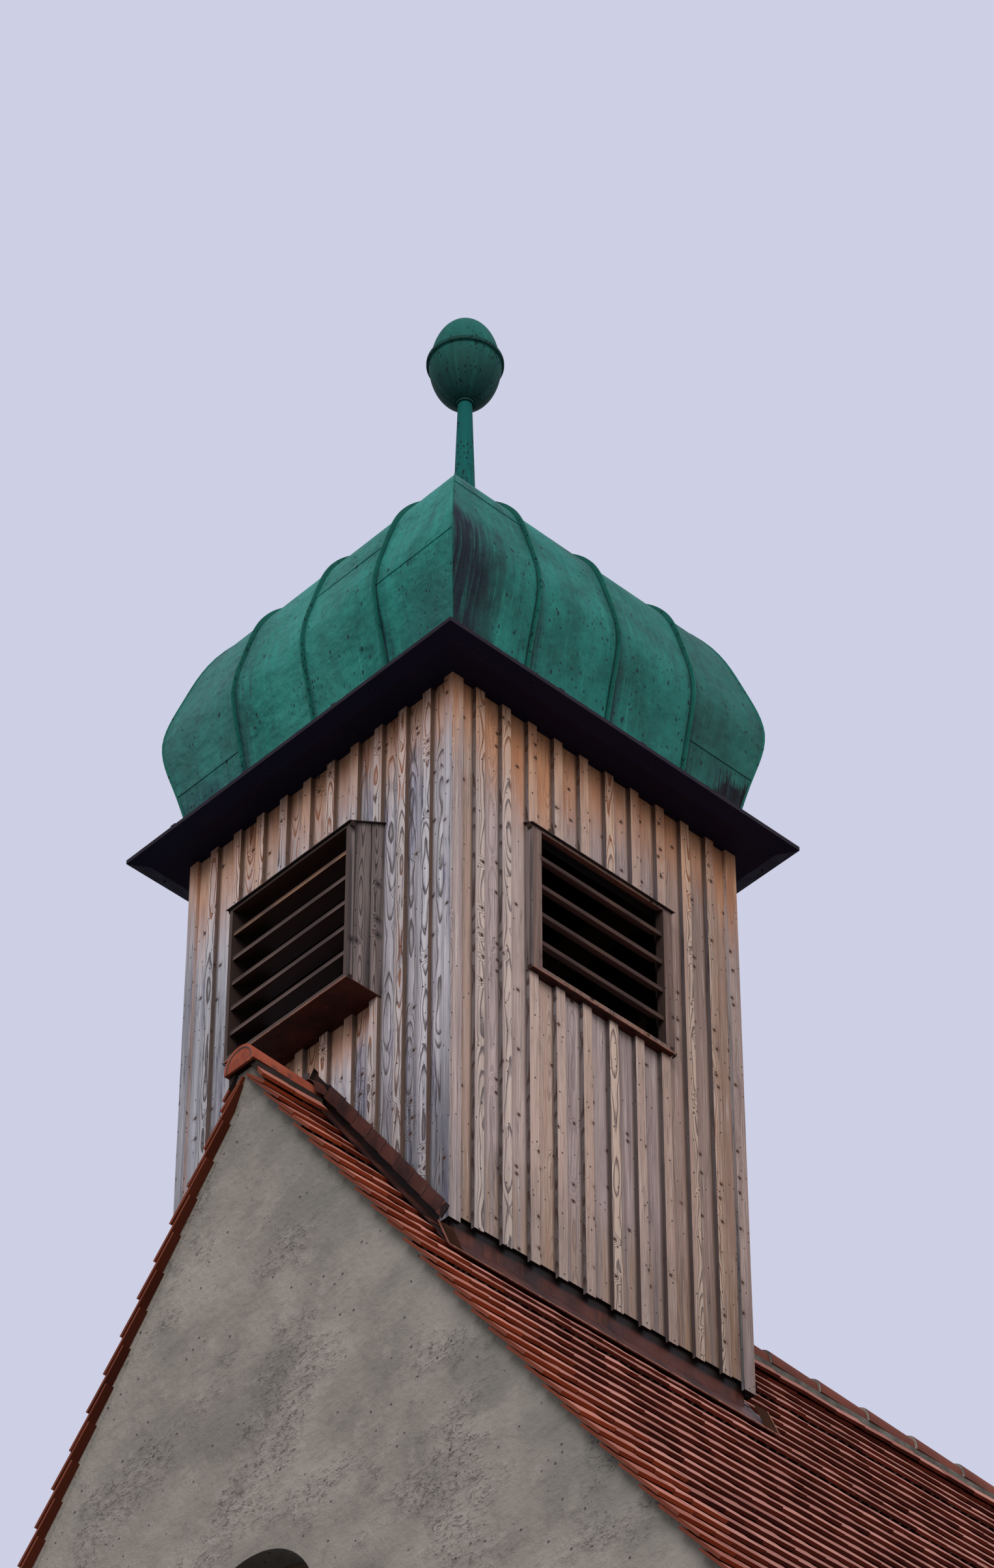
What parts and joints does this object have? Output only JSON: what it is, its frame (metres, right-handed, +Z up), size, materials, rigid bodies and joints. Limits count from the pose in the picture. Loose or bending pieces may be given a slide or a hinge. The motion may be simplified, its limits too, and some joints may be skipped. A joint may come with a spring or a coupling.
{
  "type": "church tower with boarded ridge turret on a gabled nave",
  "caption": "Small plastered church with a steep tiled roof and a square boarded ridge turret, with louvres, a copper bulb cap and a ball finial.",
  "frame": {"origin": "on the floor, under the middle of the whole building", "axes": "+Z up, the ridge runs along Y, the gable below the turret faces -Y"},
  "size_m": [6.07, 5.568, 12.377],
  "materials": {
    "plaster": "rough",
    "clay_tile": "matte",
    "mortar": "rough",
    "larch": "weathered",
    "frame_timber": "sawn",
    "dark_timber": "matte",
    "patina_copper": "matte",
    "dark_copper": "satin",
    "brown_copper": "satin",
    "window_timber": "painted",
    "glass": "clear"
  },
  "bodies": {
    "root": {"gable_wall_front": "plaster", "gable_wall_rear": "plaster", "side_wall_left": "plaster", "side_wall_right": "plaster", "window_frames": "window_timber", "window_glass": "glass", "roof_deck_left": "frame_timber", "roof_deck_right": "frame_timber", "tiles_left": "clay_tile", "tiles_right": "clay_tile", "ridge_tiles": "clay_tile", "ridge_mortar": "mortar", "turret_wall_front": "larch", "turret_wall_right": "larch", "turret_wall_rear": "larch", "turret_wall_left": "larch", "battens_front": "larch", "battens_right": "larch", "battens_rear": "larch", "battens_left": "larch", "corner_boards": "larch", "corner_posts": "frame_timber", "top_plate": "frame_timber", "louvre_box_front": "larch", "louvre_box_right": "larch", "louvre_box_rear": "larch", "louvre_box_left": "larch", "louvre_slats_front": "dark_timber", "louvre_slats_right": "dark_timber", "louvre_slats_rear": "dark_timber", "louvre_slats_left": "dark_timber", "louvre_hoods": "brown_copper", "louvre_sills": "brown_copper", "soffit": "dark_copper", "eaves_edge": "dark_copper", "cap_gable_sides": "patina_copper", "cap_eaves_sides": "patina_copper", "standing_seams": "patina_copper", "finial_pole": "patina_copper", "finial_ball_lower": "patina_copper", "finial_ball_upper": "patina_copper", "finial_band": "dark_copper", "gable_flashings": "brown_copper", "aprons": "brown_copper"}
  },
  "joints": []
}
